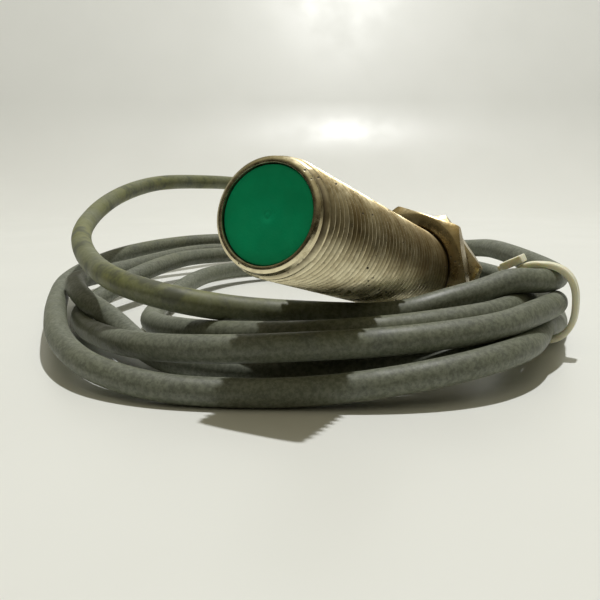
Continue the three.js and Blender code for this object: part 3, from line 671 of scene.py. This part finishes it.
def tube_mesh(points, radius, sides, shape=None):
    """Rings along the points, turned as little as possible, with softly rounded cut ends."""
    tangents = [(b - a).normalized() for a, b in zip(points, points[1:])]
    tangents = [tangents[0]] + [(a + b).normalized() for a, b in zip(tangents, tangents[1:])] + [tangents[-1]]
    side = tangents[0].orthogonal().normalized()
    rings, verts, faces = [], [], []

    def ring(centre, tangent, across, size):
        up = tangent.cross(across)
        row = []
        for k in range(sides):
            angle = 2 * math.pi * k / sides
            r = size * (shape(centre, angle) if shape else 1)
            row.append(centre + across * (r * math.cos(angle)) + up * (r * math.sin(angle)))
        rings.append(row)

    inset = radius * 0.12
    for i, (p, t) in enumerate(zip(points, tangents)):
        side = (side - t * side.dot(t)).normalized()
        if i == 0:
            ring(p, t, side, radius - inset)
            ring(p + t * inset, t, side, radius)
        elif i == len(points) - 1:
            ring(p - t * inset, t, side, radius)
            ring(p, t, side, radius - inset)
        else:
            ring(p, t, side, radius)
    for row in rings:
        verts.extend(row)
    for i in range(len(rings) - 1):
        for k in range(sides):
            m = (k + 1) % sides
            faces.append((i * sides + k, i * sides + m, (i + 1) * sides + m, (i + 1) * sides + k))
    faces.append(tuple(reversed(range(sides))))
    last = (len(rings) - 1) * sides
    faces.append(tuple(last + k for k in range(sides)))
    return verts, faces


def cable():
    stations = LEAD + [station for turn in TURNS for station in turn] + LAST_TURN
    route = settle(smooth_route(stations, 1.6), CABLE_RADIUS)

    def dents(centre, angle):
        place_noise = noise.noise(centre * 0.09) + 0.5 * noise.noise(centre * 0.3)
        return 1 + 0.006 * place_noise + 0.004 * math.cos(2 * angle + centre.x * 0.02) - 0.004

    verts, faces = tube_mesh(route, CABLE_RADIUS, 24, dents)
    length = sum((b - a).length for a, b in zip(route, route[1:]))
    # The loop that stands up on the left is the most handled, so it is the most stained.
    stain = []
    for v in verts:
        up = min(1, max(0, (v.z - 9.5) / 6))
        left = min(1, max(0, (24 - v.x) / 26))
        stain.append(0.12 + 0.88 * up * left)
    obj = piece("cable", COIL, verts, faces, "cable", ("cable_lead", "cable_coil", "cable_loop"),
                sharp=60, attributes={"stain": stain})
    return obj, route, length


# ---- cable tie -------------------------------------------------------------------------------
TIE_CENTRE = (45.9, -39.2, 10.3)
TIE_HEADING = math.radians(62)
TIE_HALF = (7.0, 7.8)
TIE_SQUARENESS = 2.5
STRAP_WIDTH = 2.6
STRAP_THICKNESS = 1.1
HEAD_LEAN = math.radians(27)
TIE = COIL @ Matrix.Translation(TIE_CENTRE) @ Matrix.Rotation(TIE_HEADING - math.pi / 2, 4, "Z")


def tie_point(angle, inset=0.0):
    def bend(value):
        return math.copysign(abs(value) ** (2 / TIE_SQUARENESS), value)

    return ((TIE_HALF[0] - inset) * bend(math.cos(angle)), (TIE_HALF[1] - inset) * bend(math.sin(angle)))


def tie_strap():
    """Flat nylon strap with rounded edges and fine ratchet ridges across its outer face."""
    steps = 220
    half, thick, lip = STRAP_WIDTH / 2, STRAP_THICKNESS, 0.18
    verts, faces = [], []
    for i in range(steps):
        angle = 2 * math.pi * i / steps
        ridge = 0.07 if i % 2 else 0.0
        section = [(-half, lip), (-half + lip, 0.0), (-half + 0.6, ridge), (half - 0.6, ridge),
                   (half - lip, 0.0), (half, lip), (half, thick - lip), (half - lip, thick),
                   (-half + lip, thick), (-half, thick - lip)]
        for along, inset in section:
            x, z = tie_point(angle, inset)
            verts.append((x, along, z))
    count = 10
    for i in range(steps):
        a, b = i * count, ((i + 1) % steps) * count
        for k in range(count):
            m = (k + 1) % count
            faces.append((a + k, b + k, b + m, a + m))
    return piece("tie_band", TIE, verts, faces, "nylon", "tie_strap", sharp=50)


def rounded_box(low, high, radius=0.35, hollow=None):
    """A block with rounded edges; hollow is a pocket in its top, as (margin, depth, narrowing)."""
    bm = bmesh.new()
    bmesh.ops.create_cube(bm, size=1)
    low, high = Vector(low), Vector(high)
    for v in bm.verts:
        v.co = Vector([(low[k] + high[k]) / 2 + v.co[k] * (high[k] - low[k]) for k in range(3)])
    if hollow:
        top = max(bm.faces, key=lambda f: f.calc_center_median().z)
        margin, depth, narrowing = hollow
        bmesh.ops.inset_region(bm, faces=[top], thickness=margin, depth=0)
        for v in top.verts:
            v.co.y *= narrowing
        pushed = bmesh.ops.extrude_discrete_faces(bm, faces=[top])["faces"][0]
        for v in pushed.verts:
            v.co.z -= depth
    bmesh.ops.bevel(bm, geom=[e for e in bm.edges if e.calc_face_angle(0) > 0.6], offset=radius,
                    segments=3, profile=0.6, affect="EDGES", clamp_overlap=True)
    bm.verts.index_update()
    verts = [tuple(v.co) for v in bm.verts]
    faces = [tuple(v.index for v in f.verts) for f in bm.faces]
    bm.free()
    return verts, faces


def tie_head():
    """The ratchet head with its pawl pocket, and the stub of strap trimmed off beside it."""
    x, z = tie_point(math.radians(127), -0.35)
    matrix = TIE @ Matrix.Translation((x, 0, z)) @ Matrix.Rotation(-HEAD_LEAN, 4, "Y")
    head, head_faces = rounded_box((-2.4, -2.2, 0), (1.9, 2.2, 1.5), 0.32, (0.8, 0.6, 0.8))
    stub, stub_faces = rounded_box((-3.2, -1.3, 0.25), (-2.2, 1.3, 1.2), 0.2)
    base = len(head)
    verts = head + stub
    faces = head_faces + [tuple(k + base for k in f) for f in stub_faces]
    return piece("tie_ratchet", matrix, verts, faces, "nylon", "tie_head", sharp=35)


# ---- stripped far end ------------------------------------------------------------------------
CORE_SPREAD = 0.8
STRIPPED = {
    "brown": ([(13.4, 62.3, 12.8), (11.3, 63.3, 12.8), (5, 64.6, 12), (-3, 63.8, 12), (-9, 62, 12.9)],
              (-12.6, 61, 13.6)),
    "blue": ([(13.1, 61.6, 11.5), (11, 62.5, 11.4), (6, 61, 11.1), (0, 56.8, 11.2), (-7.6, 52, 12.1)],
             (-10.9, 50.4, 13)),
    "black": ([(13.7, 63.1, 11.5), (11.7, 64.3, 11.4), (5, 68, 11.1), (-3, 70.8, 11.8), (-7.6, 71.4, 13.2)],
              (-11.2, 71.8, 14.2)),
}


def stripped_end(route_end):
    """Three insulated conductors that leave the jacket, each with a tinned, twisted tip."""
    made = []
    for colour, (stations, tip) in STRIPPED.items():
        start = route_end + (Vector(stations[0]) - Vector(LAST_TURN[-1])) * CORE_SPREAD
        path = smooth_route([start, *stations[1:]], 0.5)
        verts, faces = tube_mesh(path, 0.7, 16)
        made.append(piece(f"lead_{colour}", COIL, verts, faces, colour, f"wire_{colour}",
                          sharp=60))
        along = (Vector(tip) - Vector(stations[-1])).normalized()
        inner = Vector(stations[-1]) - along * 0.2

        def strands(centre, angle):
            twist = (centre - inner).dot(along) * 2.1
            return 0.93 + 0.12 * abs(math.cos(3.5 * (angle + twist)))

        verts, faces = tube_mesh(resample([inner, Vector(tip)], 0.12), 0.4, 28, strands)
        made.append(piece(f"bare_{colour}", COIL, verts, faces, "solder", f"tip_{colour}",
                          sharp=60, attributes={"groove_dirt_and_shade": [0.0] * len(verts)}))
    return made


# ---- build -----------------------------------------------------------------------------------
cable_object, cable_route, cable_length = cable()
tie_pieces = [tie_strap(), tie_head()]
lead_pieces = stripped_end(cable_route[-1])
barrel()
cap()
nut("front_nut_hexagon", FRONT_NUT_Y, math.radians(-15), "front_lock_nut", "front_nut")
nut("rear_nut_hexagon", REAR_NUT_Y, math.radians(10), "rear_lock_nut", "rear_nut")
rear_parts()

# ---- carried-over CAD nodes ------------------------------------------------------------------
NODE_MATERIALS = {
    "ferrite_core": "ferrite", "coil_bobbin": "white", "coil_winding": "copper", "board_carrier": "white",
    "circuit_board": "board", "oscillator_chip": "chip", "output_transistor": "chip",
    "tuning_capacitor": "ceramic", "supply_capacitor": "ceramic", "gain_resistor": "resistor",
    "load_resistor": "resistor", "protection_diode": "diode", "status_led": "lens", "potting_plug": "epoxy",
    "seal_ring": "seal", "crimp_ring": "steel", "conductor_brown": "brown", "conductor_blue": "blue",
    "conductor_black": "black", "front_washer": "steel", "rear_washer": "steel",
}
for node_name, material_name in NODE_MATERIALS.items():
    materials = frame["nodes"][node_name].data.materials
    materials.clear()
    materials.append(MATERIALS[material_name])


# ---- stage and light -------------------------------------------------------------------------
def stage_material():
    """Pale satin table top with the faintest clouding."""
    s = Shade("table_top")
    s.set(Base_Color=s.mix(s.span(s.noise(9, 4), 0.3, 0.7), (0.81, 0.82, 0.785), (0.785, 0.795, 0.76)))
    s.set(Roughness=s.span(s.noise(30, 3), 0.3, 0.7, 0.32, 0.42))
    s.shader.inputs["Specular IOR Level"].default_value = 0.35
    return s.material


def stage():
    """A table top that sweeps up into a wall behind the object; the wall is clear from its back."""
    width, depth_front, bend_at, bend, length, lean = 6.0, 4.0, 0.30, 0.14, 2.6, math.radians(66)
    profile = [(-depth_front, 0.0), (bend_at, 0.0)]
    for k in range(1, 13):
        angle = lean * k / 12
        profile.append((bend_at + bend * math.sin(angle), bend - bend * math.cos(angle)))
    profile.append((profile[-1][0] + length * math.cos(lean), profile[-1][1] + length * math.sin(lean)))
    turn = Matrix.Rotation(COIL_HEADING, 4, "Z")
    centre = Vector(COIL_CENTRE) * MM
    verts = [turn @ Vector((x, y, z)) + centre for y, z in profile for x in (-width, width)]
    faces = [(2 * k, 2 * k + 1, 2 * k + 3, 2 * k + 2) for k in range(len(profile) - 1)]
    mesh = bpy.data.meshes.new("sweep")
    mesh.from_pydata(verts, [], faces)
    for polygon in mesh.polygons:
        polygon.use_smooth = True
    obj = bpy.data.objects.new("sweep", mesh)
    material = stage_material()
    tree = material.node_tree
    output = tree.nodes["Material Output"]
    clear = tree.nodes.new("ShaderNodeBsdfTransparent")
    blend = tree.nodes.new("ShaderNodeMixShader")
    back = tree.nodes.new("ShaderNodeNewGeometry")
    tree.links.new(back.outputs["Backfacing"], blend.inputs["Fac"])
    tree.links.new(tree.nodes["Principled BSDF"].outputs["BSDF"], blend.inputs[1])
    tree.links.new(clear.outputs["BSDF"], blend.inputs[2])
    tree.links.new(blend.outputs["Shader"], output.inputs["Surface"])
    mesh.materials.append(material)
    bpy.context.collection.objects.link(obj)


def lamp(name, position, target, size, power, colour):
    data = bpy.data.lights.new(name, "AREA")
    data.shape = "DISK"
    data.size = size
    data.energy = power
    data.color = colour
    obj = bpy.data.objects.new(name, data)
    where, aim = place(COIL, position), place(COIL, target)
    obj.matrix_world = Matrix.Translation(where) @ (aim - where).to_track_quat("-Z", "Y").to_matrix().to_4x4()
    bpy.context.collection.objects.link(obj)
    return obj


def world():
    sky = bpy.data.worlds.new("room")
    sky.use_nodes = True
    nodes, links = sky.node_tree.nodes, sky.node_tree.links
    coords = nodes.new("ShaderNodeTexCoord")
    split = nodes.new("ShaderNodeSeparateXYZ")
    ramp = nodes.new("ShaderNodeValToRGB")
    links.new(coords.outputs["Generated"], split.inputs[0])
    links.new(split.outputs["Z"], ramp.inputs["Fac"])
    stops = ramp.color_ramp.elements
    stops[0].position, stops[0].color = 0.0, (0.03, 0.026, 0.016, 1)
    stops[1].position, stops[1].color = 0.95, (1.0, 0.93, 0.68, 1)
    for position, colour in ((0.35, (0.06, 0.052, 0.031, 1)), (0.62, (0.50, 0.455, 0.31, 1))):
        stops.new(position).color = colour
    links.new(ramp.outputs["Color"], nodes["Background"].inputs["Color"])
    nodes["Background"].inputs["Strength"].default_value = 0.43
    bpy.context.scene.world = sky


stage()
world()
lamp("ceiling_lamp", (80, 105, 1000), (0, -30, 0), 0.035, 7.7, (1.0, 1.0, 1.0))

bpy.context.scene.view_settings.view_transform = "Standard"
bpy.context.scene.view_settings.look = "None"
